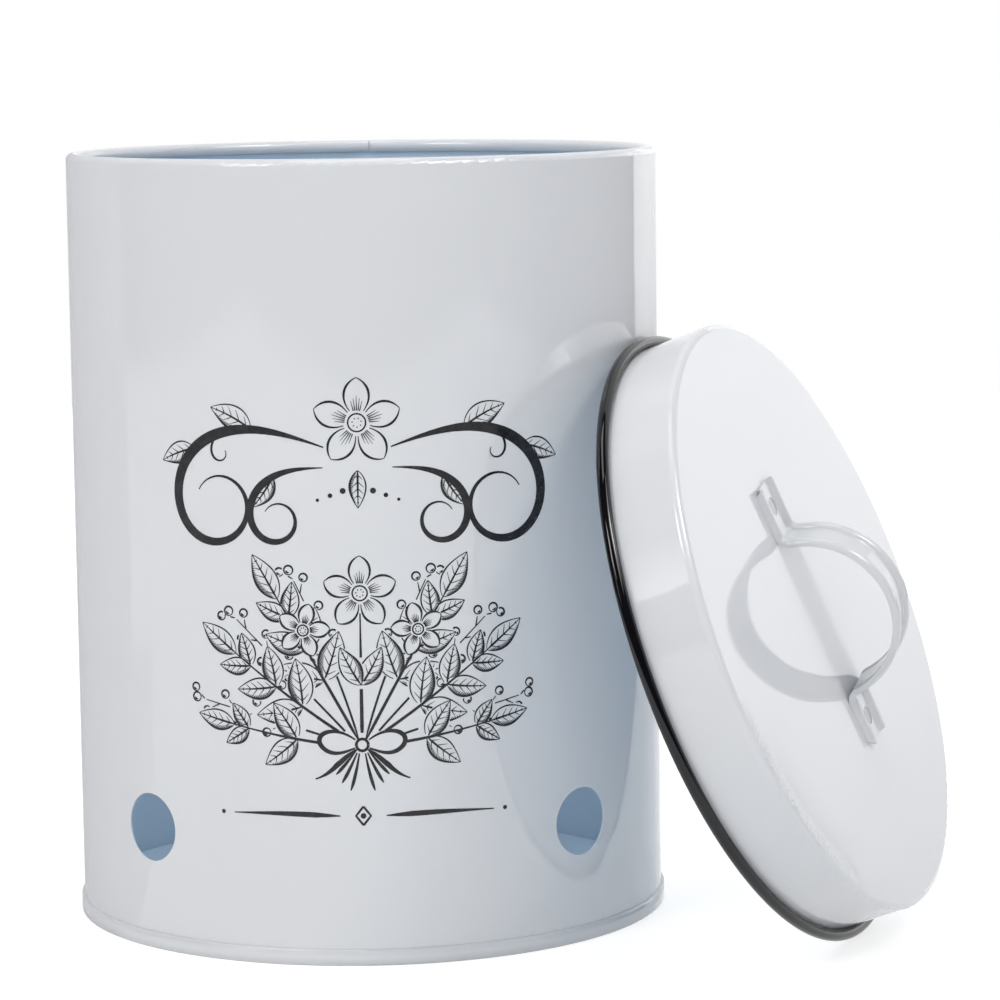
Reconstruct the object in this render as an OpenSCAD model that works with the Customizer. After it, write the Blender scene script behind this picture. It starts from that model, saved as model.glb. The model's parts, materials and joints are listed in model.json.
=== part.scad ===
// Round storage bin of painted sheet metal for potatoes, with a slip-over lid.
// The bin stands on its base seam and the lid leans on its side wall, taken off.
// Millimetres, +Z up. The origin is the centre of the ring that the bin stands on.
// The front faces -Y.

/* [Bin wall] */
// Outside diameter of the wall
bin_d = 216; // [160:1:300]
// Height from the floor to the top of the rim
bin_h = 280; // [180:1:400]
// Thickness of the wall's sheet
wall_t = 0.6; // [0.4:0.1:1]
// Diameter of the curl that is rolled inwards along the rim
curl_d = 4.6; // [3.6:0.1:7]
// Width of the lap where the rolled sheet is joined, at the back
lap_w = 6; // [3:0.5:12]
// Width of the slit where the two ends of the curl meet
curl_slit = 0.3; // [0.2:0.1:1]

/* [Vents] */
// Diameter of a vent hole
vent_d = 24.4; // [8:0.1:40]
// Height of the vents' centres above the floor
vent_z = 43.5; // [32:0.5:90]
// Number of vents, spread evenly round the wall
vent_count = 4; // [2:1:8]
// Bearing of the first vent from the front, towards +X
vent_bearing = 45; // [20:1:70]

/* [Base] */
// Thickness of the base's sheet
base_t = 0.6; // [0.4:0.1:1]
// Height of the inside floor above what the bin stands on
floor_z = 6.5; // [5:0.1:12]
// Radius of the bend between the floor and its upright edge
floor_bend = 2.4; // [1.5:0.1:4]
// Height of the folded seam round the foot
seam_h = 5.8; // [4:0.1:9]
// How far the seam stands out from the wall
seam_out = 1.1; // [0.8:0.1:2]
// Radius that rounds the seam's outer edges
seam_round = 0.45; // [0.2:0.05:0.6]

/* [Lid] */
// Clearance between the bin's wall and the lid's skirt when the lid is on
lid_clearance = 0.6; // [0.3:0.1:1.5]
// Thickness of the lid's sheet
lid_t = 0.6; // [0.4:0.1:1]
// Height of the lid, from the bottom of its edge ring to its flat top
lid_h = 28.4; // [18:0.1:60]
// Radius that rounds the lid's top edge
lid_round = 2.6; // [1.5:0.1:6]
// Outside radius of the bend where the skirt turns out into its lip
lip_bend = 0.5; // [0.3:0.1:0.8]
// Diameter of the black ring that covers the lip
ring_d = 4.3; // [3.4:0.1:7]

/* [Handle] */
// Width of the handle's strap
strap_w = 21; // [16:0.5:30]
// Thickness of the strap's sheet
strap_t = 0.9; // [0.6:0.1:1.2]
// Outside radius of the rib that is pressed along each edge of the strap
rib_r = 2.6; // [2:0.1:3.4]
// Radius of the hollow where a rib runs into the strap's flat middle
rib_foot = 0.8; // [0.4:0.1:1.2]
// Inside radius of the handle's loop
loop_r = 28.7; // [20:0.1:40]
// Radius of the bends between the loop and its tabs, on the underside
foot_bend = 5; // [4.4:0.1:8]
// Length of each flat tab, from its bend to its end
tab_l = 17.6; // [12:0.1:26]
// Radius that rounds the corners of a tab
tab_corner = 3.6; // [1:0.1:6]
// Turn of the handle in the plane of the lid
handle_turn = 13.5; // [-90:0.5:90]

/* [Rivets] */
// Diameter of the rivet's flat head
rivet_head_d = 6.6; // [5:0.1:8]
// Thickness of the rivet's head
rivet_head_t = 0.3; // [0.2:0.05:0.4]
// Depth of the head's face below the strap
rivet_sink = 0.2; // [0.1:0.05:0.3]
// Diameter of the rivet's shank
rivet_shank_d = 3.2; // [2:0.1:4]
// Diameter of the domed tail that is formed inside the lid
rivet_tail_d = 6; // [4.5:0.1:8]
// Height of the domed tail
rivet_tail_h = 1; // [0.6:0.1:2]
// Clearance round a rivet's shank and head
rivet_clearance = 0.05; // [0.02:0.01:0.1]

/* [Lid's resting place] */
// Angle between the leaning lid and the upright
lean_angle = 20.7; // [10:0.1:45]
// Bearing of the leaning lid from the front, towards +X
lean_bearing = 68; // [0:0.5:180]
// Gap between the lid's ring and the bin's wall
lean_gap = 0.3; // [0.2:0.1:1]

/* [Hidden] */
$fn = 96;

bin_r = bin_d / 2;
wall_inner_r = bin_r - wall_t;
curl_r = curl_d / 2;
curl_centre_z = bin_h - curl_r;

skirt_inner_r = bin_r + lid_clearance;
skirt_r = skirt_inner_r + lid_t;
ring_r = ring_d / 2;
ring_centre_r = skirt_r + ring_r;
lip_z = ring_r - lid_t / 2;

strap_h = rib_r;
rib_x = strap_w / 2 - rib_r;
foot_x = sqrt(pow(loop_r + foot_bend, 2) - pow(foot_bend, 2));
loop_start = asin(foot_bend / (loop_r + foot_bend));
rivet_x = foot_x + tab_l / 2;

// How far a cutting shape runs clear of the faces that it cuts
clear = 1;
// Rise of the side lap's foot above the inside floor
lap_rise = 0.2;
// How far a rib's hollow is let into the rib and the flat middle, to join them
rib_foot_sink = 0.05;
// How much thinner a handle's bend is on each face, and how far it reaches into its neighbours
bend_inset = 0.02;
bend_reach = 0.2;

paint = [0.87, 0.89, 0.91];
black_gloss = [0.04, 0.04, 0.045];
rivet_paint = [0.78, 0.78, 0.8];

// A bent sheet's section: the quarter of a tube of the given outside radius, in the
// quadrant of its centre that turn picks, where 0 is outwards and up.
module sheet_bend(outer, thickness, turn = 0) {
    rotate(turn)
        intersection() {
            difference() {
                circle(r = outer);
                circle(r = outer - thickness);
            }
            square(outer + clear);
        }
}

// Bin wall

// The curl is a tube rolled inwards, open where its end comes back to the wall.
module curl_section() {
    translate([bin_r - curl_r, curl_centre_z])
        difference() {
            circle(r = curl_r);
            circle(r = curl_r - wall_t);
            translate([wall_t, -curl_d])
                square([curl_d, curl_d]);
        }
}

module wall_section() {
    curl_section();
    translate([wall_inner_r, base_t])
        square([wall_t, curl_centre_z - base_t]);
}

// The sheet's end lies against the inside of the wall, along the back.
module side_lap() {
    lap_low = floor_z + lap_rise;
    intersection() {
        translate([0, 0, lap_low])
            difference() {
                cylinder(r = wall_inner_r + wall_t / 2, h = bin_h - curl_d - lap_low, $fn = 192);
                translate([0, 0, -clear])
                    cylinder(r = wall_inner_r - wall_t, h = bin_h, $fn = 192);
            }
        translate([-lap_w / 2, 0, 0])
            cube([lap_w, bin_d, bin_h]);
    }
}

module vent_cuts() {
    for (i = [0 : vent_count - 1])
        rotate(vent_bearing + i * 360 / vent_count)
            translate([0, -bin_r + wall_t + clear, vent_z])
                rotate([90, 0, 0])
                    cylinder(d = vent_d, h = wall_t + 2 * clear);
}

module bin_wall() {
    color(paint)
        difference() {
            union() {
                rotate_extrude($fn = 192)
                    wall_section();
                side_lap();
            }
            vent_cuts();
            translate([-curl_slit / 2, 0, bin_h - curl_d - clear])
                cube([curl_slit, wall_inner_r - wall_t, curl_d + 2 * clear]);
        }
}

// Bin base

// The base's sheet forms the floor, turns down inside the wall, runs under the wall's
// edge and folds up outside it as the seam.
module seam_band() {
    difference() {
        translate([bin_r, 0])
            square([seam_out, seam_h]);
        for (z = [0, seam_h])
            translate([bin_r + seam_out, z])
                square(2 * seam_round, center = true);
    }
    for (z = [seam_round, seam_h - seam_round])
        translate([bin_r + seam_out - seam_round, z])
            circle(r = seam_round);
}

module bin_base() {
    color(paint)
        rotate_extrude($fn = 192) {
            translate([0, floor_z - base_t])
                square([wall_inner_r - floor_bend, base_t]);
            translate([wall_inner_r - floor_bend, floor_z - floor_bend])
                sheet_bend(floor_bend, base_t);
            translate([wall_inner_r - base_t, 0])
                square([base_t, floor_z - floor_bend]);
            translate([wall_inner_r - base_t, 0])
                square([base_t + wall_t + seam_out / 2, base_t]);
            seam_band();
        }
}

// Lid

module lid_section() {
    top_r = skirt_r - lid_round;
    translate([0, lid_h - lid_t])
        square([top_r, lid_t]);
    translate([top_r, lid_h - lid_round])
        sheet_bend(lid_round, lid_t);
    skirt_low = lip_z + lid_t + lip_bend;
    translate([skirt_inner_r, skirt_low])
        square([lid_t, lid_h - lid_round - skirt_low]);
    translate([skirt_r + lip_bend, skirt_low])
        sheet_bend(lip_bend + lid_t, lid_t, 180);
    translate([skirt_r + lip_bend, lip_z])
        square([ring_r - lip_bend, lid_t]);
}

// The lid leans with its ring on the floor and against the bin's wall. Its own frame
// has its axis along Z, its ring's underside at Z = 0 and the handle's lower tab at +X.
module leaning() {
    rotate([0, 0, lean_bearing - 90])
        translate([bin_r + lean_gap + ring_r + ring_centre_r * sin(lean_angle), 0,
            ring_r + ring_centre_r * cos(lean_angle)])
            rotate([0, 90 - lean_angle, 0])
                translate([0, 0, -ring_r])
                    children();
}

module on_lid_top() {
    leaning()
        translate([0, 0, lid_h])
            rotate([0, 0, handle_turn])
                children();
}

module lid_shell() {
    color(paint)
        difference() {
            leaning()
                rotate_extrude($fn = 192)
                    lid_section();
            on_lid_top()
                for (side = [-1, 1])
                    translate([side * rivet_x, 0, -lid_t - clear])
                        cylinder(d = rivet_shank_d + 2 * rivet_clearance, h = lid_t + 2 * clear);
        }
}

module lid_edge_ring() {
    color(black_gloss)
        leaning()
            rotate_extrude($fn = 192)
                difference() {
                    translate([ring_centre_r, ring_r])
                        circle(r = ring_r);
                    lid_section();
                }
}

// Handle

// The strap's section: a flat middle with a half-round rib pressed up along each edge.
// An inset makes it thinner all round.
module strap_section(inset = 0) {
    flat_half = rib_x - rib_r + strap_t / 2;
    translate([-flat_half, inset])
        square([2 * flat_half, strap_t - 2 * inset]);
    for (side = [0, 1])
        mirror([side, 0]) {
            rib_section(inset);
            rib_foot_section(inset);
        }
}

module rib_section(inset) {
    translate([rib_x, 0])
        intersection() {
            difference() {
                circle(r = rib_r - inset);
                circle(r = rib_r - strap_t + inset);
            }
            translate([-rib_r - clear, inset])
                square([2 * (rib_r + clear), rib_r + clear]);
        }
}

// The hollow between a rib and the flat middle is cut by a circle that is let a little
// way into both of them.
module rib_foot_section(inset) {
    hollow_y = strap_t + rib_foot;
    hollow_x = rib_x - sqrt(pow(rib_r + rib_foot, 2) - pow(hollow_y, 2));
    share = rib_r / (rib_r + rib_foot);
    difference() {
        polygon([
            [hollow_x, strap_t / 2],
            [rib_x - rib_r + strap_t / 2, strap_t / 2],
            [rib_x - share * (rib_x - hollow_x), share * hollow_y],
            [hollow_x, hollow_y]
        ]);
        translate([hollow_x, hollow_y - rib_foot_sink])
            circle(r = rib_foot + inset);
    }
}

// Each tab is the strap's section run straight, with its outer corners rounded.
module tab() {
    intersection() {
        translate([foot_x, 0, 0])
            rotate([90, 0, 90])
                linear_extrude(tab_l)
                    strap_section();
        translate([foot_x - clear, 0, -clear])
            linear_extrude(strap_h + 2 * clear)
                tab_outline();
    }
}

module tab_outline() {
    half = strap_w / 2;
    translate([0, -half])
        square([tab_l + clear - tab_corner, strap_w]);
    translate([0, -half + tab_corner])
        square([tab_l + clear, strap_w - 2 * tab_corner]);
    for (side = [-1, 1])
        translate([tab_l + clear - tab_corner, side * (half - tab_corner)])
            circle(r = tab_corner);
}

// The bend turns the strap up from the tab: its centre lies above the strap. It is a
// hair thinner than its neighbours and reaches a little way into both of them.
module foot_bend_up() {
    reach = bend_reach / foot_bend * 180 / PI;
    translate([foot_x, 0, foot_bend])
        rotate([90, 0, 0])
            rotate([0, 0, 180 + loop_start - reach])
                rotate_extrude(angle = 90 - loop_start + 2 * reach)
                    translate([foot_bend, 0])
                        rotate(90)
                            strap_section(bend_inset);
}

module loop() {
    rotate([90, 0, 0])
        rotate([0, 0, loop_start])
            rotate_extrude(angle = 180 - 2 * loop_start, $fn = 128)
                translate([loop_r, 0])
                    rotate(-90)
                        strap_section();
}

module lid_handle() {
    color(paint)
        on_lid_top()
            difference() {
                union() {
                    loop();
                    for (turn = [0, 180])
                        rotate(turn) {
                            foot_bend_up();
                            tab();
                        }
                }
                for (side = [-1, 1])
                    translate([side * rivet_x, 0, 0])
                        rivet_hole();
            }
}

module rivet_hole() {
    translate([0, 0, -clear])
        cylinder(d = rivet_shank_d + 2 * rivet_clearance, h = strap_t + 2 * clear);
    translate([0, 0, strap_t - rivet_sink - rivet_head_t])
        cylinder(d = rivet_head_d + 2 * rivet_clearance, h = rivet_sink + rivet_head_t + clear);
}

// Rivets

// The rivet's head lies sunk in the strap and its tail is formed inside the lid.
module rivet() {
    tail_ball = (pow(rivet_tail_d / 2, 2) + pow(rivet_tail_h, 2)) / (2 * rivet_tail_h);
    head_low = strap_t - rivet_sink - rivet_head_t;
    color(rivet_paint) {
        translate([0, 0, head_low])
            cylinder(d = rivet_head_d, h = rivet_head_t);
        translate([0, 0, -lid_t])
            cylinder(d = rivet_shank_d, h = lid_t + strap_t - rivet_sink);
        intersection() {
            translate([0, 0, tail_ball - rivet_tail_h - lid_t])
                sphere(r = tail_ball);
            translate([0, 0, -lid_t - 2 * rivet_tail_h])
                cylinder(d = rivet_tail_d + clear, h = 2 * rivet_tail_h);
        }
    }
}

module handle_rivet_upper() {
    on_lid_top()
        translate([-rivet_x, 0, 0])
            rivet();
}

module handle_rivet_lower() {
    on_lid_top()
        translate([rivet_x, 0, 0])
            rivet();
}

bin_wall();
bin_base();
lid_shell();
lid_edge_ring();
lid_handle();
handle_rivet_upper();
handle_rivet_lower();
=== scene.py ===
import json
from math import atan2, ceil, cos, hypot, pi, radians, sin

import bpy
from mathutils import Matrix, Vector


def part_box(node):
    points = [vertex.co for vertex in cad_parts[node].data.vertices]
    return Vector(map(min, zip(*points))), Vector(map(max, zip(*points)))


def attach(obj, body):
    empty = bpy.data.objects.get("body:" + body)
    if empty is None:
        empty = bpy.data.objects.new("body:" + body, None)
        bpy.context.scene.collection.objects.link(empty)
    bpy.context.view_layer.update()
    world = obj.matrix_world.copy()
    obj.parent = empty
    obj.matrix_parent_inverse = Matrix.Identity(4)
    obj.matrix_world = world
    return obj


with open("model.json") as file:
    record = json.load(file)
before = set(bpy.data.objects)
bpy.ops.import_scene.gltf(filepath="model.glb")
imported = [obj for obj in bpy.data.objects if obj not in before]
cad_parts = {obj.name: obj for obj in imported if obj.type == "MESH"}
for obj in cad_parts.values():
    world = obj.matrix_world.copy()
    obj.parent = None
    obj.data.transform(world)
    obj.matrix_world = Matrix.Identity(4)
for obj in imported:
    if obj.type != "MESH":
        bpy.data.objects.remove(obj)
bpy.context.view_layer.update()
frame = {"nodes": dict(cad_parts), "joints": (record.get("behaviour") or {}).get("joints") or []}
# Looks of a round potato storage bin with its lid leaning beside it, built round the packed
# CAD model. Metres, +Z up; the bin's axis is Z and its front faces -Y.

MM = 0.001

# Sizes read from the frame
nodes = frame["nodes"]
wall_low, wall_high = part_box("bin_wall")
BIN_R = (wall_high.x - wall_low.x) / 2
BIN_H = wall_high.z
ring_low, ring_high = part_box("lid_edge_ring")
LID_CENTRE = (ring_low + ring_high) / 2
LID_AXIS = Vector(frame["joints"][0]["axis"]).normalized()
LID_TOP = max((v.co - LID_CENTRE).dot(LID_AXIS) for v in nodes["lid_shell"].data.vertices)

# Sizes that the CAD model has and the frame doesn't name
SHEET_T = 0.6 * MM
CURL_D = 4.6 * MM
SEAM_H = 5.8 * MM
LID_CLEARANCE = 0.6 * MM
LID_ROUND = 2.6 * MM
LID_FLAT_R = BIN_R + LID_CLEARANCE + SHEET_T - LID_ROUND

# On the bin, only the seam lies further out than this
SEAM_FROM_R = BIN_R + 0.5 * MM

# Camera: the photograph's lens and place
LENS_PX = 3822
IMAGE_PX = 1000
SENSOR_MM = 36
NEAREST, FURTHEST = 0.05, 50
CAMERA_AT = Vector((41.9, -1409.2, 324.5)) * MM
PITCH_DOWN = radians(7.09)
YAW_RIGHT = radians(0.30)
ROLL = radians(0.75)


def make_camera():
    data = bpy.data.cameras.new("camera")
    camera = bpy.data.objects.new("camera", data)
    bpy.context.scene.collection.objects.link(camera)
    data.sensor_width = SENSOR_MM
    data.lens = LENS_PX / IMAGE_PX * SENSOR_MM
    data.clip_start, data.clip_end = NEAREST, FURTHEST
    forward = Vector((
        sin(YAW_RIGHT) * cos(PITCH_DOWN),
        cos(YAW_RIGHT) * cos(PITCH_DOWN),
        -sin(PITCH_DOWN),
    ))
    level_right = Vector((cos(YAW_RIGHT), -sin(YAW_RIGHT), 0))
    level_up = level_right.cross(forward)
    right = level_right * cos(ROLL) - level_up * sin(ROLL)
    up = level_up * cos(ROLL) + level_right * sin(ROLL)
    turn = Matrix((right, up, -forward)).transposed()
    camera.matrix_world = Matrix.Translation(CAMERA_AT) @ turn.to_4x4()
    bpy.context.scene.camera = camera


# Materials. Noise scales are per metre.

NOISE_RANGE = (0.3, 0.7)

OUTER_PAINT = (0.725, 0.73, 0.745, 1)
# Inner faces: a pale blue-grey paint, made bluer so that it also paints the cool tint of the shade inside
# the bin and the lid.
INNER_PAINT_AND_SHADE_TINT = (0.71, 0.82, 0.92, 1)
HANDLE_PAINT = (0.68, 0.685, 0.70, 1)
# Painted shade: the rivet heads are painted over like the handle, and this grey stands in for the shade
# and darker reflection in their shallow recesses.
RIVET_PAINTED_SHADE = (0.42, 0.43, 0.46, 1)
PAINT_IOR = 1.5
PAINT_ROUGHNESS = (0.035, 0.06)
ROUGHNESS_SCALE = 90
INSIDE_ROUGHER = 0.15
CLOUD_COLOUR = (0.6, 0.63, 0.7, 1)
CLOUD_SHARE = 0.05
CLOUD_SCALE = 14
SPECK_COLOUR = (0.1, 0.1, 0.1, 1)
SPECK_SHARE = 0.35
SPECK_SCALE = 34
# A speck's full and outer radius, in cells of its pattern
SPECK_CORE, SPECK_EDGE = 0.006, 0.012
WAVE_SCALE = 22
WAVE_DEPTH = 0.5 * MM
PEEL_SCALE = 420
PEEL_DEPTH = 0.01 * MM
SEAM_FOLD_DEPTH = 0.9 * MM

WRINKLE_SCALE = 48
WRINKLE_DEPTH = 0.3 * MM
# How fast a wrinkle changes from the lid's middle outwards
WRINKLE_DRIFT = 4
# The way from the lid's axis to the middle of its wrinkled edge
WRINKLED_SIDE = (-0.13, -0.85, -0.51)

BLACK_IOR = 1.45
ENAMEL_DARK = (0.002, 0.002, 0.003, 1)
ENAMEL_LIGHT = (0.005, 0.005, 0.007, 1)
ENAMEL_ROUGHNESS = (0.03, 0.07)
RIPPLE_SCALE = 130
RIPPLE_DEPTH = 0.1 * MM
INK_DARK = (0.006, 0.006, 0.008, 1)
INK_LIGHT = (0.02, 0.02, 0.023, 1)
INK_ROUGHNESS = (0.2, 0.3)


class Shader:
    """A material's node tree, with short calls that add nodes and join them."""

    def __init__(self, name):
        self.material = bpy.data.materials.new(name)
        self.material.use_nodes = True
        self.tree = self.material.node_tree
        self.surface = self.tree.nodes["Principled BSDF"]
        self.end = self.tree.nodes["Material Output"].inputs["Surface"]

    def put(self, socket, value):
        """Joins another node's output to a socket, or sets the socket to a plain value."""
        if isinstance(value, bpy.types.NodeSocket):
            self.tree.links.new(value, socket)
        else:
            socket.default_value = value

    def add(self, kind, output=0, inputs=(), **settings):
        """Adds a node, sets its settings and inputs, and returns one of its outputs."""
        node = self.tree.nodes.new(kind)
        for name, value in settings.items():
            setattr(node, name, value)
        for key, value in dict(inputs).items():
            self.put(node.inputs[key], value)
        return node.outputs[output]

    def math(self, operation, a, b=0.0, clamp=False):
        return self.add("ShaderNodeMath", inputs={0: a, 1: b}, operation=operation, use_clamp=clamp)

    def vector(self, operation, a, b=(0, 0, 0), output="Vector"):
        return self.add("ShaderNodeVectorMath", output, {0: a, 1: b}, operation=operation)

    def place(self):
        """The point at rest, in the row frame."""
        return self.add("ShaderNodeTexCoord", "Object")

    def part_of(self, axis, vector):
        return self.add("ShaderNodeSeparateXYZ", axis, {"Vector": vector})

    def noise(self, at, scale, detail=2.0, roughness=0.5):
        return self.add("ShaderNodeTexNoise", "Fac",
                        {"Vector": at, "Scale": scale, "Detail": detail, "Roughness": roughness})

    def between(self, value, from_low, from_high, to_low=0.0, to_high=1.0):
        return self.add("ShaderNodeMapRange", inputs={
            "Value": value, "From Min": from_low, "From Max": from_high,
            "To Min": to_low, "To Max": to_high})

    def uneven(self, at, scale, low=0.0, high=1.0, detail=2.0):
        """Noise whose usual values are spread from low to high."""
        return self.between(self.noise(at, scale, detail), *NOISE_RANGE, low, high)

    def mix(self, share, a, b):
        """Colour a where share is 0 and b where it is 1. The colours' sockets go by number."""
        return self.add("ShaderNodeMix", 2, {0: share, 6: a, 7: b}, data_type="RGBA")

    def bump(self, height, distance, strength=1.0, normal=None):
        inputs = {"Height": height, "Distance": distance, "Strength": strength}
        if normal is not None:
            inputs["Normal"] = normal
        return self.add("ShaderNodeBump", inputs=inputs)

    def glow(self, colour, strength):
        return self.add("ShaderNodeEmission", inputs={"Color": colour, "Strength": strength})

    def set(self, **inputs):
        """Sets or joins the surface's own inputs. A name's underscores stand for spaces."""
        for name, value in inputs.items():
            self.put(self.surface.inputs[name.replace("_", " ")], value)
        return self.material


def place_on_bin(shader, at):
    """Height above the floor, and distance from the bin's axis."""
    outward = shader.vector("MULTIPLY", at, (1, 1, 0))
    return shader.part_of("Z", at), shader.vector("LENGTH", outward, output="Value")


def place_on_lid(shader, at):
    """Height above the ring's middle along the lid's axis, and the way across from that axis."""
    from_centre = shader.vector("SUBTRACT", at, tuple(LID_CENTRE))
    height = shader.vector("DOT_PRODUCT", from_centre, tuple(LID_AXIS), output="Value")
    upwards = shader.add("ShaderNodeVectorMath", "Vector", {0: tuple(LID_AXIS), "Scale": height},
                         operation="SCALE")
    return height, shader.vector("SUBTRACT", from_centre, upwards)


def inside_bin(shader, at):
    """1 on the bin's inner faces, below its curl."""
    height, radius = place_on_bin(shader, at)
    within_wall = shader.math("LESS_THAN", radius, BIN_R - SHEET_T / 2)
    below_curl = shader.math("LESS_THAN", height, BIN_H - CURL_D)
    return shader.math("MULTIPLY", within_wall, below_curl)


def inside_lid(shader, at):
    """1 on the lid's inner faces: nearer to the middle of the sheet's bend than the sheet's own middle."""
    height, across = place_on_lid(shader, at)
    radius = shader.vector("LENGTH", across, output="Value")
    out = shader.math("MAXIMUM", shader.math("SUBTRACT", radius, LID_FLAT_R), 0.0)
    up = shader.math("MAXIMUM", shader.math("SUBTRACT", height, LID_TOP - LID_ROUND), 0.0)
    reach = shader.math("SQRT", shader.math("ADD", shader.math("MULTIPLY", out, out),
                                            shader.math("MULTIPLY", up, up)))
    return shader.math("LESS_THAN", reach, LID_ROUND - SHEET_T / 2)


def drawing_wrinkles(shader, at):
    """Short radial ridges that pressing left at the lid's rounded edge, over a quarter of its round."""
    across = place_on_lid(shader, at)[1]
    radius = shader.vector("LENGTH", across, output="Value")
    way = shader.vector("NORMALIZE", across)
    rise = shader.between(radius, LID_FLAT_R - 6 * MM, LID_FLAT_R - 1.5 * MM)
    fall = shader.between(radius, LID_FLAT_R, LID_FLAT_R + 2 * MM, 1.0, 0.0)
    toward = shader.vector("DOT_PRODUCT", way, WRINKLED_SIDE, output="Value")
    near_side = shader.between(toward, 0.90, 0.97)
    share = shader.math("MULTIPLY", near_side, shader.math("MULTIPLY", rise, fall))
    drift = shader.vector("MULTIPLY", at, (WRINKLE_DRIFT, WRINKLE_DRIFT, WRINKLE_DRIFT))
    streaks = shader.noise(shader.vector("ADD", way, drift), WRINKLE_SCALE, detail=4, roughness=0.75)
    ridges = shader.between(streaks, 0.45, 0.65)
    return shader.math("MULTIPLY", ridges, share)


def folded_seam(shader, at):
    """Height of a round fold over the seam at the bin's foot, 0 elsewhere."""
    height, radius = place_on_bin(shader, at)
    off_middle = shader.math("DIVIDE", shader.math("SUBTRACT", height, SEAM_H / 2), SEAM_H / 2)
    fold = shader.math("SUBTRACT", 1.0, shader.math("MULTIPLY", off_middle, off_middle), clamp=True)
    return shader.math("MULTIPLY", fold, shader.math("GREATER_THAN", radius, SEAM_FROM_R))


def painted_sheet(name, outer, inside=None, relief=None, depth=0.0):
    """Gloss paint on sheet metal: orange peel, a slow waviness of the sheet and a few specks."""
    shader = Shader(name)
    at = shader.place()
    colour = outer
    roughness = shader.uneven(at, ROUGHNESS_SCALE, *PAINT_ROUGHNESS)
    if inside is not None:
        # Inner faces take the bluer inner colour: partly their own paint, partly a painted cool tint of
        # their shade.
        within_part = inside(shader, at)
        colour = shader.mix(within_part, outer, INNER_PAINT_AND_SHADE_TINT)
        roughness = shader.math("ADD", roughness, shader.math("MULTIPLY", within_part, INSIDE_ROUGHER))
    cloud = shader.uneven(at, CLOUD_SCALE, 0.0, CLOUD_SHARE, detail=3)
    colour = shader.mix(cloud, colour, CLOUD_COLOUR)
    cell = shader.add("ShaderNodeTexVoronoi", "Distance", {"Vector": at, "Scale": SPECK_SCALE})
    speck = shader.between(cell, SPECK_CORE, SPECK_EDGE, SPECK_SHARE, 0.0)
    colour = shader.mix(speck, colour, SPECK_COLOUR)
    normal = shader.bump(shader.noise(at, WAVE_SCALE, detail=1), WAVE_DEPTH, 0.35)
    if relief is not None:
        normal = shader.bump(relief(shader, at), depth, 1.0, normal)
    normal = shader.bump(shader.noise(at, PEEL_SCALE), PEEL_DEPTH, 0.8, normal)
    return shader.set(Base_Color=colour, Roughness=roughness, IOR=PAINT_IOR, Normal=normal)


def black_enamel(name):
    """Gloss black enamel with faint ripples."""
    shader = Shader(name)
    at = shader.place()
    tone = shader.uneven(at, 60, detail=3)
    colour = shader.mix(tone, ENAMEL_DARK, ENAMEL_LIGHT)
    roughness = shader.uneven(at, 150, *ENAMEL_ROUGHNESS, detail=3)
    ripple = shader.bump(shader.noise(at, RIPPLE_SCALE), RIPPLE_DEPTH, 0.12)
    return shader.set(Base_Color=colour, Roughness=roughness, IOR=BLACK_IOR, Normal=ripple)


def printing_ink(name):
    """Black printing ink, a little uneven, duller than the paint."""
    shader = Shader(name)
    at = shader.place()
    tone = shader.between(shader.noise(at, 300, detail=3), 0.35, 0.65)
    colour = shader.mix(tone, INK_DARK, INK_LIGHT)
    roughness = shader.uneven(at, ROUGHNESS_SCALE, *INK_ROUGHNESS)
    return shader.set(Base_Color=colour, Roughness=roughness, IOR=BLACK_IOR)


def dress(material, *names):
    """Gives CAD nodes their finish."""
    for name in names:
        mesh = nodes[name].data
        mesh.materials.clear()
        mesh.materials.append(material)


def dress_cad_nodes():
    bin_paint = painted_sheet("bin_paint", OUTER_PAINT, inside_bin)
    base_paint = painted_sheet("base_paint", OUTER_PAINT, inside_bin, folded_seam, SEAM_FOLD_DEPTH)
    lid_paint = painted_sheet("lid_paint", OUTER_PAINT, inside_lid, drawing_wrinkles, WRINKLE_DEPTH)
    dress(bin_paint, "bin_wall")
    dress(base_paint, "bin_base")
    dress(lid_paint, "lid_shell")
    dress(painted_sheet("handle_paint", HANDLE_PAINT), "lid_handle")
    # The rivet heads take a grey of painted shade and reflection for their recesses.
    dress(painted_sheet("rivet_paint", RIVET_PAINTED_SHADE), "handle_rivet_upper", "handle_rivet_lower")
    dress(black_enamel("ring_enamel"), "lid_edge_ring")


# The printed ornament, drawn with pen strokes in millimetres on the unrolled wall. A heading
# is in radians from the way right, and a bend is a turn in radians per millimetre.

# Bare wall left round a leaf or a berry that lies in front
FRONT_GAP = 0.45
BERRY_GAP = 0.4
LEAF_STEPS = 20
LEAF_VEINS = 5
VEIN_LEAN = 0.85
HATCH_STEP = 0.85
DARK_SIDE = -1
BERRY_STEPS = 16
PETALS = 5
STAMENS = 7


def bent_line(start, heading, length, turn_start, turn_end, count=24):
    """Points of a line whose turn per millimetre changes evenly from turn_start to turn_end."""
    x, y = start
    points = [(x, y)]
    step = length / count
    for i in range(count):
        turn = turn_start + (turn_end - turn_start) * (i + 0.5) / count
        heading += 0.5 * step * turn
        x += step * cos(heading)
        y += step * sin(heading)
        heading += 0.5 * step * turn
        points.append((x, y))
    return points


def curve(a, b, c, d, count=18):
    """Points of a cubic Bezier."""
    points = []
    for i in range(count + 1):
        t = i / count
        shares = ((1 - t) ** 3, 3 * t * (1 - t) ** 2, 3 * t * t * (1 - t), t ** 3)
        points.append(tuple(sum(s * p[j] for s, p in zip(shares, (a, b, c, d))) for j in (0, 1)))
    return points


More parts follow.
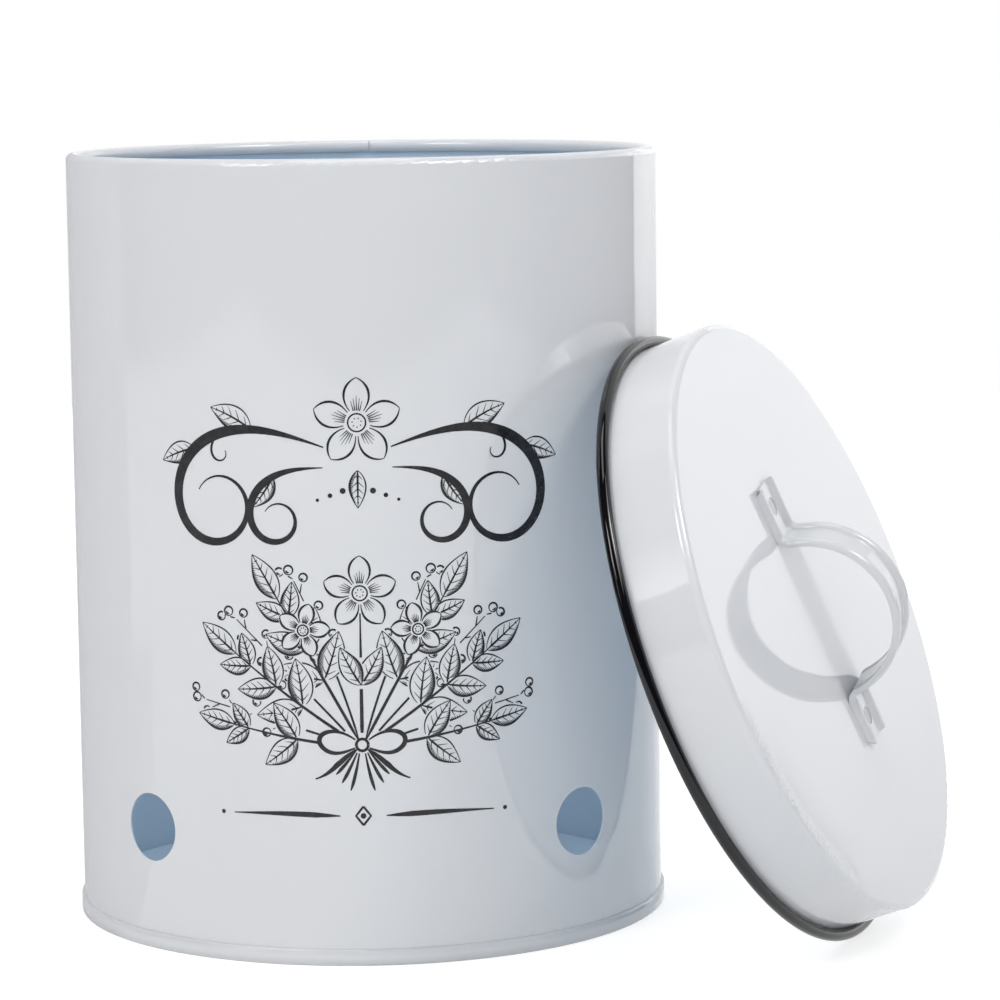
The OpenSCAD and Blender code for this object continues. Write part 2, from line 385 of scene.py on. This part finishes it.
def along(points, t):
    """The point and heading at a share t of a line's points."""
    place = t * (len(points) - 1)
    i = min(int(place), len(points) - 2)
    (x0, y0), (x1, y1) = points[i], points[i + 1]
    u = place - i
    return (x0 + (x1 - x0) * u, y0 + (y1 - y0) * u), atan2(y1 - y0, x1 - x0)


def offset(point, heading, distance):
    return point[0] + distance * cos(heading), point[1] + distance * sin(heading)


def circle(centre, radius, count, start=0.0):
    """A closed round line, whose last point is its first."""
    return [offset(centre, start + 2 * pi * i / count, radius) for i in range(count + 1)]


def within(point, outline):
    """Whether a point lies inside a closed outline."""
    x, y = point
    inside = False
    for (x0, y0), (x1, y1) in zip(outline, outline[1:] + outline[:1]):
        if (y0 > y) != (y1 > y) and x < x0 + (x1 - x0) * (y - y0) / (y1 - y0):
            inside = not inside
    return inside


class Drawing:
    """Pen strokes: each is a list of points and a list of the pen's widths at them."""

    def __init__(self):
        self.strokes = []

    def stroke(self, points, thin, thick, peak=0.5):
        """A stroke that is thin at its ends and thick at the given share of its length."""
        widths = []
        for i in range(len(points)):
            t = i / (len(points) - 1)
            u = 0.5 * t / peak if t < peak else 0.5 + 0.5 * (t - peak) / (1 - peak)
            widths.append(thin + (thick - thin) * sin(pi * u) ** 1.3)
        self.strokes.append((points, widths))

    def even_stroke(self, points, width):
        self.strokes.append((points, [width] * len(points)))

    def dot(self, centre, size):
        r = size / 2
        across = [(centre[0] + r * share, centre[1]) for share in (-1, -0.87, -0.5, 0, 0.5, 0.87, 1)]
        self.strokes.append((across, [0.02, r, r * 1.73, size, r * 1.73, r, 0.02]))

    def clear(self, outline):
        """Takes away what was drawn inside an outline, so that what comes next lies in front."""
        low_x, low_y = min(p[0] for p in outline), min(p[1] for p in outline)
        high_x, high_y = max(p[0] for p in outline), max(p[1] for p in outline)
        kept = []
        for points, widths in self.strokes:
            if not any(low_x < x < high_x and low_y < y < high_y for x, y in points):
                kept.append((points, widths))
                continue
            run, run_widths = [], []
            for point, width in zip(points, widths):
                if within(point, outline):
                    if len(run) > 1:
                        kept.append((run, run_widths))
                    run, run_widths = [], []
                else:
                    run.append(point)
                    run_widths.append(width)
            if len(run) > 1:
                kept.append((run, run_widths))
        self.strokes = kept

    def mirror(self):
        """Adds the same strokes on the other side of the middle line."""
        self.strokes += [([(-x, y) for x, y in points], widths) for points, widths in self.strokes]


def leaf_half_width(width, t):
    return 0.5 * width * sin(pi * t ** 0.82) ** 0.9 if 0 < t < 1 else 0.0


def leaf_edge(rib, width, side, spare=0.0):
    points = []
    for i in range(LEAF_STEPS + 1):
        t = i / LEAF_STEPS
        place, way = along(rib, t)
        points.append(offset(place, way + side * pi / 2, leaf_half_width(width, t) + spare))
    return points


def leaf_veins(pen, rib, width, side):
    for k in range(LEAF_VEINS):
        t = 0.12 + 0.72 * k / (LEAF_VEINS - 1)
        place, way = along(rib, t)
        reach = leaf_half_width(width, min(0.99, t + 0.1)) * 1.02
        vein = bent_line(place, way + side * VEIN_LEAN, reach, -side * 0.05, -side * 0.02, count=6)
        pen.stroke(vein, thin=0.12, thick=0.32, peak=0.2)


def leaf_hatching(pen, rib, length, width):
    """Short lines from the leaf's dark edge toward its midrib."""
    hatches = int(length / HATCH_STEP)
    for k in range(hatches):
        t = 0.1 + 0.8 * k / hatches
        place, way = along(rib, t)
        reach = leaf_half_width(width, t)
        outer = offset(place, way + DARK_SIDE * pi / 2, reach * 0.97)
        inner_share = 0.55 - 0.22 * sin(5 * t + 1)
        inner = offset(offset(place, way + DARK_SIDE * pi / 2, reach * inner_share), way, -reach * 0.35)
        middle = ((outer[0] + inner[0]) / 2, (outer[1] + inner[1]) / 2)
        pen.strokes.append(([outer, middle, inner], [0.42, 0.3, 0.12]))


def leaf(pen, base, heading, length, width, bend=0.0):
    """An engraved leaf: two edges, a midrib, side veins and hatching along its dark half."""
    rib = bent_line(base, heading, length, bend, bend * 0.4, LEAF_STEPS)
    pen.clear(leaf_edge(rib, width, 1, FRONT_GAP) + leaf_edge(rib, width, -1, FRONT_GAP)[::-1])
    for side in (1, -1):
        pen.stroke(leaf_edge(rib, width, side), thin=0.25, thick=0.85 if side == DARK_SIDE else 0.55,
                   peak=0.45)
        leaf_veins(pen, rib, width, side)
    pen.stroke(rib, thin=0.25, thick=0.75, peak=0.15)
    leaf_hatching(pen, rib, length, width)


def sprig(pen, start, heading, length, bend, pairs, leaf_length, first):
    """A stem with pairs of leaves that grow smaller, and one leaf at its tip."""
    stem = bent_line(start, heading, length, bend, bend * 0.3, count=30)
    tip, way = along(stem, 1)
    leaf(pen, tip, way, leaf_length * 0.98, leaf_length * 0.45, bend * 0.5)
    for k in reversed(range(pairs)):
        rise = k / (pairs - 1)
        foot, way = along(stem, first + 0.93 * (0.9 - first) * rise)
        size = leaf_length * (1 - 0.3 * rise)
        for side in (1, -1):
            leaf(pen, foot, way + side * (0.92 - 0.1 * k), size, size * 0.5, -side * 0.015)
    pen.stroke(stem, thin=0.45, thick=1.1, peak=0.1)


def berry(pen, foot, heading, radius):
    """A round berry, shaded along one side."""
    centre = offset(foot, heading, radius)
    pen.clear(circle(centre, radius + BERRY_GAP, BERRY_STEPS)[:-1])
    outline = circle(centre, radius, BERRY_STEPS, start=heading + pi)
    pen.stroke(outline, thin=0.35, thick=0.7, peak=0.6)
    shade = [offset(centre, -1.9 + 1.9 * i / 8, radius * 0.55) for i in range(9)]
    pen.stroke(shade, thin=0.15, thick=0.75)


def spray(pen, start, heading, length, bend, berries):
    """A thin stem with berries on short stalks."""
    stem = bent_line(start, heading, length, bend, bend * 0.6)
    pen.stroke(stem, thin=0.35, thick=0.8, peak=0.1)
    for k in range(berries):
        foot, way = along(stem, 0.42 + 0.55 * k / (berries - 1))
        side = 1 if k % 2 else -1
        reach = 6.2 - 2.6 * k / berries
        stalk = bent_line(foot, way + side * 0.55, reach, side * 0.05, side * 0.02, count=6)
        pen.stroke(stalk, thin=0.2, thick=0.5, peak=0.2)
        berry(pen, stalk[-1], way + side * 0.7, radius=1.45)
    tip, way = along(stem, 1)
    berry(pen, tip, way, radius=1.6)


def blossom(pen, centre, radius, turn):
    """An open flower with pointed petals, lines at their feet and a ring of stamens."""
    spread = pi / PETALS
    for k in range(PETALS):
        way = turn + 2 * pi * k / PETALS
        sides = []
        for side in (1, -1):
            foot = offset(centre, way + side * spread * 0.85, radius * 0.3)
            flank = offset(centre, way + side * spread * 0.95, radius * 0.72)
            shoulder = offset(centre, way + side * spread * 0.42, radius * 0.93)
            sides.append(curve(foot, flank, shoulder, offset(centre, way, radius), count=14))
        pen.clear([centre] + sides[0] + sides[1][::-1])
        for side in sides:
            pen.stroke(side, thin=0.3, thick=0.85)
        for lean in (-2, -1, 0, 1, 2):
            inner = offset(centre, way + 0.13 * lean, radius * 0.27)
            outer = offset(centre, way + 0.13 * lean, radius * (0.6 - 0.05 * abs(lean)))
            pen.strokes.append(([inner, outer], [0.42, 0.12]))
    ring = circle(centre, radius * 0.2, 20)
    pen.clear(ring[1:])
    pen.even_stroke(ring, 0.55)
    for k in range(STAMENS):
        pen.dot(offset(centre, 2 * pi * k / STAMENS + 0.3, radius * 0.1), size=0.5)


def crest_half(pen):
    """Half of the crest: two scrolls that curl the same way, with leaves at their backs."""
    upper = bent_line((10, 181), 0.34, 142, -0.0005, -0.108, count=84)
    lower = bent_line((12, 174.5), -0.02, 76, -0.003, -0.190, count=64)
    for scroll, t, side, size in ((upper, 0.2, 1, 17), (upper, 0.37, 1, 15), (lower, 0.24, -1, 13)):
        foot, way = along(scroll, t)
        leaf(pen, foot, way + side * 0.62, size, size * 0.48, -side * 0.03)
    foot, way = along(upper, 0.29)
    tendril = bent_line(foot, way - 0.5, 17, -0.03, -0.5, count=26)
    pen.stroke(tendril, thin=0.3, thick=0.9, peak=0.3)
    pen.stroke(upper, thin=0.4, thick=4.0, peak=0.36)
    pen.stroke(lower, thin=0.35, thick=2.8, peak=0.36)
    for i in range(3):
        pen.dot((5.2 + 4.4 * i, 166.5 - 1.6 * i), size=2.1 - 0.45 * i)


def bouquet_half(pen):
    """Half of the bouquet: sprays at the back, sprigs before them, and a bow at the tie."""
    for k in range(4):
        tail = bent_line((0.8 + 0.5 * k, 76.5), -pi / 2 + 0.16 + 0.24 * k, 15 - 1.7 * k,
                         0.004, 0.02, count=10)
        pen.stroke(tail, thin=0.4, thick=1.2, peak=0.8)
    spray(pen, (1.2, 80), heading=1.30, length=62, bend=-0.004, berries=7)
    spray(pen, (2.4, 79), heading=0.84, length=62, bend=-0.002, berries=7)
    spray(pen, (3.4, 78), heading=0.33, length=58, bend=-0.003, berries=6)
    sprig(pen, (1.5, 80), heading=1.08, length=56, bend=-0.001, pairs=3, leaf_length=18, first=0.42)
    sprig(pen, (2.5, 79), heading=0.58, length=52, bend=0.002, pairs=3, leaf_length=17, first=0.42)
    sprig(pen, (3.5, 77.5), heading=0.09, length=43, bend=0.004, pairs=2, leaf_length=15, first=0.45)
    bow = curve((0.8, 78.5), (10, 87), (19, 81), (13, 76.4))
    bow += curve((13, 76.4), (9, 73.4), (4, 76.4), (0.8, 77.6), count=12)[1:]
    pen.clear(bow)
    pen.stroke(bow, thin=0.5, thick=1.7, peak=0.45)
    pen.stroke(curve((1, 77), (8, 73), (10, 68), (16.5, 66)), thin=0.5, thick=1.8, peak=0.4)


def rule_half(pen):
    """Half of the rule under the bouquet: a swelling line and a dot at its end."""
    line = [(8 + i * 4.3, 53 + 0.5 * sin(i / 9 * pi)) for i in range(10)]
    pen.stroke(line, thin=0.4, thick=1.9, peak=0.25)
    pen.dot((51, 53), size=1.6)


def ornament():
    """The whole drawing: two mirrored halves, then what lies on the middle line."""
    pen = Drawing()
    crest_half(pen)
    bouquet_half(pen)
    rule_half(pen)
    pen.mirror()
    middle_stem = bent_line((0, 80), pi / 2, 44, 0, 0, count=20)
    pen.stroke(middle_stem, thin=0.5, thick=1.3, peak=0.1)
    for side in (1, -1):
        leaf(pen, (0, 99), pi / 2 - side * 0.62, 15, 7, side * 0.02)
    blossom(pen, (0, 190), 15.5, pi / 2)
    leaf(pen, (0, 173.5), -pi / 2, 13, 5.6)
    for x, y, radius in ((-20, 118, 9.5), (20, 118, 9.5), (0, 131, 13)):
        blossom(pen, (x, y), radius, pi / 2 + 0.012 * x)
    knot = circle((0, 78), 2.1, 16)
    pen.clear(knot[1:])
    pen.even_stroke(knot, 1.0)
    for side in (1, -1):
        pen.even_stroke([(0, 56.3), (side * 2.6, 53), (0, 49.7)], 0.8)
    pen.dot((0, 53), size=2.0)
    return pen.strokes


# The ink stands a hair above the paint, each stroke at its own height, and roots in the wall.
INK_HEIGHT = 0.03 * MM
INK_HEIGHTS = 40
INK_HEIGHT_STEP = 0.01
INK_ROOT = 0.1 * MM
INK_STEP = 1.5 * MM


def on_wall(x, z, height):
    """A point of the unrolled wall, in millimetres across the front and up, on the round wall."""
    angle = x * MM / BIN_R
    radius = BIN_R + height
    return radius * sin(angle), -radius * cos(angle), z * MM


def fine_steps(points, widths):
    """The same stroke with its long steps cut up, so that it follows the round wall."""
    fine, fine_widths = [points[0]], [widths[0]]
    for (x0, y0), (x1, y1), w0, w1 in zip(points, points[1:], widths, widths[1:]):
        parts = max(1, ceil(hypot(x1 - x0, y1 - y0) * MM / INK_STEP))
        for i in range(1, parts + 1):
            t = i / parts
            fine.append((x0 + (x1 - x0) * t, y0 + (y1 - y0) * t))
            fine_widths.append(w0 + (w1 - w0) * t)
    return fine, fine_widths


def add_ribbon(vertices, faces, points, widths, height):
    """A closed flat bar along a stroke: four corners at each point, sides, bottom, top and ends."""
    first = len(vertices)
    last = len(points) - 1
    for i, ((x, y), width) in enumerate(zip(points, widths)):
        (x0, y0), (x1, y1) = points[max(0, i - 1)], points[min(last, i + 1)]
        run = hypot(x1 - x0, y1 - y0)
        across_x, across_y = -(y1 - y0) / run * width / 2, (x1 - x0) / run * width / 2
        left, right = (x + across_x, y + across_y), (x - across_x, y - across_y)
        vertices += [on_wall(*left, height), on_wall(*right, height),
                     on_wall(*right, -INK_ROOT), on_wall(*left, -INK_ROOT)]
    for i in range(last):
        a, b = first + 4 * i, first + 4 * i + 4
        faces += [(a + j, a + (j + 1) % 4, b + (j + 1) % 4, b + j) for j in range(4)]
    end = first + 4 * last
    faces += [(first + 3, first + 2, first + 1, first), (end, end + 1, end + 2, end + 3)]


def make_print():
    """The ornament in black on the front."""
    vertices, faces = [], []
    for index, (points, widths) in enumerate(ornament()):
        height = INK_HEIGHT * (1 + INK_HEIGHT_STEP * (index % INK_HEIGHTS))
        add_ribbon(vertices, faces, *fine_steps(points, widths), height)
    mesh = bpy.data.meshes.new("ink_print")
    mesh.from_pydata(vertices, [], faces)
    mesh.validate()
    piece = bpy.data.objects.new("ink_print", mesh)
    bpy.context.scene.collection.objects.link(piece)
    mesh.materials.append(printing_ink("print_ink"))
    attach(piece, "bin")


# Studio

WORLD_COLOUR = (0.97, 1.0, 1.06)
WORLD_LIGHT = 0.53
WHITE = (1, 1, 1)
WARM = (1.0, 0.95, 0.88)
COOL = (0.87, 0.95, 1.0)
DIM = (0.02, 0.02, 0.021)

FLOOR_Z = -0.1 * MM
FLOOR_CARD_Z = -0.05 * MM
FLOOR_HALF = 1.9
FLOOR_SHARE = 0.5
FLOOR_LIFT = 1.5

# The room round the scene, which only the gloss shows, is open behind the object.
ROOM_HALF = 3.0
ROOM_LOW, ROOM_HIGH = -0.05, 3.2
ROOM_BACK = 0.8
ROOM_BACK_RIGHT = 0.3

LIT_POINT = Vector((0.04, 0, 0.13))


def grey(tone):
    return tone, tone, tone


def plane(name, corners, material):
    """A flat card from its four corners, which isn't part of the object."""
    mesh = bpy.data.meshes.new(name)
    mesh.from_pydata([Vector(corner) for corner in corners], [], [(0, 1, 2, 3)])
    mesh.uv_layers.new(name="card")
    mesh.materials.append(material)
    card = bpy.data.objects.new(name, mesh)
    bpy.context.scene.collection.objects.link(card)
    return card


def upright(near, far, low, high):
    """Corners of an upright card between two places on the floor."""
    (x0, y0), (x1, y1) = near, far
    return [(x0, y0, low), (x1, y1, low), (x1, y1, high), (x0, y0, high)]


def level(low, high, z):
    """Corners of a level card between its lowest and highest x and y."""
    (x0, y0), (x1, y1) = low, high
    return [(x0, y0, z), (x1, y0, z), (x1, y1, z), (x0, y1, z)]


def seen_directly(tree):
    """1 for rays from the camera, and for those that come by gloss or glass."""
    path = tree.nodes.new("ShaderNodeLightPath")
    found = path.outputs["Is Camera Ray"]
    for name in ("Is Glossy Ray", "Is Transmission Ray"):
        most = tree.nodes.new("ShaderNodeMath")
        most.operation = "MAXIMUM"
        tree.links.new(found, most.inputs[0])
        tree.links.new(path.outputs[name], most.inputs[1])
        found = most.outputs[0]
    return found


def make_world():
    """Even, faintly cool light. Seen directly, the world is a white background."""
    world = bpy.data.worlds.new("studio")
    bpy.context.scene.world = world
    world.use_nodes = True
    tree = world.node_tree
    soft = tree.nodes["Background"]
    soft.inputs["Color"].default_value = (*WORLD_COLOUR, 1)
    soft.inputs["Strength"].default_value = WORLD_LIGHT
    white = tree.nodes.new("ShaderNodeBackground")
    white.inputs["Color"].default_value = (*WHITE, 1)
    white.inputs["Strength"].default_value = 1.0
    mix = tree.nodes.new("ShaderNodeMixShader")
    tree.links.new(seen_directly(tree), mix.inputs[0])
    tree.links.new(soft.outputs[0], mix.inputs[1])
    tree.links.new(white.outputs[0], mix.inputs[2])
    tree.links.new(mix.outputs[0], tree.nodes["World Output"].inputs["Surface"])


def make_floor():
    """A pale floor that keeps the shadows. Seen directly, it is lifted to the white background."""
    shader = Shader("floor_white")
    grain = shader.uneven(shader.place(), 40)
    colour = shader.mix(grain, (*grey(0.80), 1), (*grey(0.82), 1))
    shader.set(Base_Color=colour, Roughness=0.7, Specular_IOR_Level=0.1)
    share = shader.math("MULTIPLY", seen_directly(shader.tree), FLOOR_SHARE)
    lifted = shader.add("ShaderNodeMixShader", inputs={
        0: share, 1: shader.surface.outputs[0], 2: shader.glow((*WHITE, 1), FLOOR_LIFT)})
    shader.put(shader.end, lifted)
    half = FLOOR_HALF
    plane("floor", level((-half, -half), (half, half), FLOOR_Z), shader.material)


def reflection_card(name, corners, tones, low=2.0, high=2.0):
    """A card that only the gloss shows, with tones along it and a strength from its foot to its top."""
    shader = Shader(name + "_tones")
    place = shader.add("ShaderNodeTexCoord", "UV")
    ramp = shader.tree.nodes.new("ShaderNodeValToRGB")
    shader.put(ramp.inputs[0], shader.part_of("X", place))
    while len(ramp.color_ramp.elements) < len(tones):
        ramp.color_ramp.elements.new(1.0)
    for element, (share, colour) in zip(ramp.color_ramp.elements, tones):
        element.position = share
        element.color = (*colour, 1)
    strength = shader.between(shader.part_of("Y", place), 0.0, 1.0, low, high)
    shader.put(shader.end, shader.glow(ramp.outputs[0], strength))
    card = plane(name, corners, shader.material)
    card.visible_camera = False
    card.visible_diffuse = False
    card.visible_shadow = False
    card.visible_transmission = False


def even(colour):
    return [(0.0, colour), (1.0, colour)]


def make_cards():
    """What the gloss shows beside the white background: the dim studio and the background's edges."""
    reflection_card("left_card", upright((-0.118, 0.12), (-0.75, 0.10), -0.05, 0.9), [
        (0.0, (0.30, 0.30, 0.31)),
        (0.4, (0.27, 0.27, 0.28)),
        (0.7, (0.26, 0.26, 0.34)),
        (1.0, grey(0.2)),
    ])
    reflection_card("floor_left_card", level((-0.75, -0.06), (-0.02, 0.12), FLOOR_CARD_Z), [
        (0.0, (0.25, 0.25, 0.26)),
        (1.0, (0.3, 0.3, 0.31)),
    ])
    right_near, right_far = (0.361, 1.745), (2.22, 0.07)
    reflection_card("right_card", upright(right_near, right_far, -0.1, 0.25), [
        (0.0, grey(0.36)),
        (0.17, grey(0.43)),
        (0.3, grey(0.55)),
        (0.37, grey(0.60)),
        (0.447, grey(0.60)),
        (0.457, DIM),
        (1.0, DIM),
    ], low=1.3, high=2.9)
    reflection_card("upper_right_card", upright(right_near, right_far, 0.25, 0.45), [
        (0.0, grey(0.50)),
        (0.37, grey(0.60)),
        (1.0, grey(0.60)),
    ], low=2.9, high=3.2)
    reflection_card("window_card", upright((-1.463, -1.364), (-1.70, -1.05), 0.70, 1.5), [
        (0.0, (0.95, 0.97, 1)),
        (1.0, (0.5, 0.52, 0.55)),
    ], low=3.4, high=0.5)
    softbox = [(1.173, -1.356, 1.453), (1.755, -0.424, 1.453), (1.243, -0.104, 1.977),
               (0.661, -1.036, 1.977)]
    reflection_card("softbox_card", softbox, even(WHITE), low=5.0, high=5.0)
    corners = [(-ROOM_HALF, ROOM_BACK), (-ROOM_HALF, -ROOM_HALF), (ROOM_HALF, -ROOM_HALF),
               (ROOM_HALF, ROOM_BACK_RIGHT)]
    for index, (start, end) in enumerate(zip(corners, corners[1:])):
        reflection_card("studio_wall_%d" % index, upright(start, end, ROOM_LOW, ROOM_HIGH), even(DIM))
    ceiling = level((-ROOM_HALF, -ROOM_HALF), (ROOM_HALF, ROOM_BACK), ROOM_HIGH)
    reflection_card("studio_ceiling", ceiling, even(DIM))


def soft_lamp(name, azimuth, elevation, distance, size, watts, colour, in_gloss=True):
    """A lamp at an azimuth from the front toward the right, turned to the middle of the object."""
    data = bpy.data.lights.new(name, "AREA")
    data.shape = "RECTANGLE"
    data.size, data.size_y = size
    data.energy = watts
    data.color = colour
    lamp = bpy.data.objects.new(name, data)
    bpy.context.scene.collection.objects.link(lamp)
    azimuth, elevation = radians(azimuth), radians(elevation)
    way = Vector((sin(azimuth) * cos(elevation), -cos(azimuth) * cos(elevation), sin(elevation)))
    lamp.location = LIT_POINT + distance * way
    lamp.rotation_euler = (-way).to_track_quat("-Z", "Y").to_euler()
    lamp.visible_camera = False
    lamp.visible_glossy = in_gloss


def make_lamps():
    """Lamps by azimuth, elevation, distance, size, watts and colour. Two don't show in the gloss."""
    soft_lamp("left_lamp", -42, 40, 2.0, (0.6, 0.6), 9.8, WARM)
    soft_lamp("right_lamp", 58, 49, 2.0, (0.35, 0.35), 6.4, WARM)
    soft_lamp("front_lamp", -5, 12, 2.2, (2.2, 1.1), 6.2, COOL, in_gloss=False)
    soft_lamp("top_lamp", 10, 86, 2.0, (0.8, 0.8), 6.6, COOL)
    soft_lamp("back_lamp", 174, 14, 2.0, (0.8, 0.8), 18.5, COOL, in_gloss=False)
    soft_lamp("background_lamp", 141, 15, 1.6, (1.1, 0.6), 1.55, WHITE)


bpy.context.scene.view_settings.view_transform = "Standard"
make_camera()
make_world()
make_floor()
make_cards()
make_lamps()
dress_cad_nodes()
make_print()
